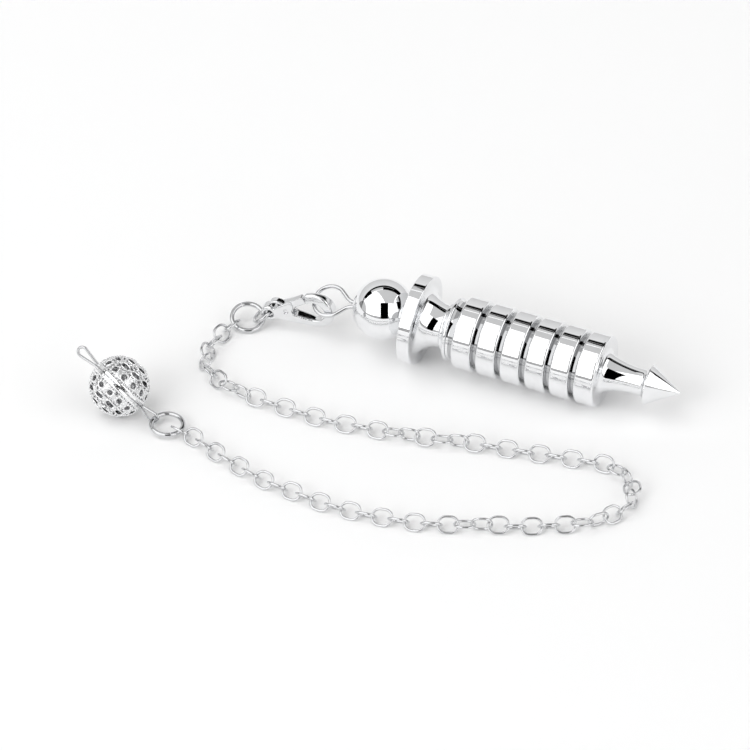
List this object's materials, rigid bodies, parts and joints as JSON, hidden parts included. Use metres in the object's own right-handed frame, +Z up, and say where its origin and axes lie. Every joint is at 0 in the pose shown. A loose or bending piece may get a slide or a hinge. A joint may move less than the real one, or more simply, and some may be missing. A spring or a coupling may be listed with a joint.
{
  "type": "pendulum pendant",
  "caption": "Polished metal pendulum pendant: a ribbed turned bob with a ball head and cone tip, hooked by a lobster clasp to a cable chain that ends in a hollow filigree bead.",
  "frame": {"origin": "on the surface it lies on, under the middle of the whole laid-out piece", "axes": "+X along the lay of the piece, from the bead towards the bob's tip; +Y across, from the chain's bend towards the clasp; +Z up from the surface"},
  "size_m": [0.1006, 0.0614, 0.0154],
  "materials": {
    "polished_metal": "mirror-polished silver-coloured plating",
    "finding_metal": "bright silver-coloured plating",
    "chain_metal": "bright silver-coloured plating on round wire",
    "bead_metal": "bright silver-coloured plating, a little duller in the recesses"
  },
  "bodies": {
    "pendulum": {"bob": "polished_metal", "bob_eye": "finding_metal", "clasp_body": "finding_metal", "clasp_pin": "finding_metal", "link_ring": "finding_metal", "clasp_ring": "finding_metal", "chain": "chain_metal", "bead_ring": "finding_metal", "bead_pin": "finding_metal", "filigree_bead": "bead_metal"},
    "lever": {"clasp_lever": "finding_metal"}
  },
  "joints": [
    {"name": "lever_hinge", "type": "hinge", "parent": "pendulum", "child": "lever", "pos_m": [-0.0153, 0.02664, 0.00426], "axis": [0.2878, 0.954, 0.0846], "range_deg": [0, 25], "stiffness_Nm_per_rad": 0.004}
  ]
}
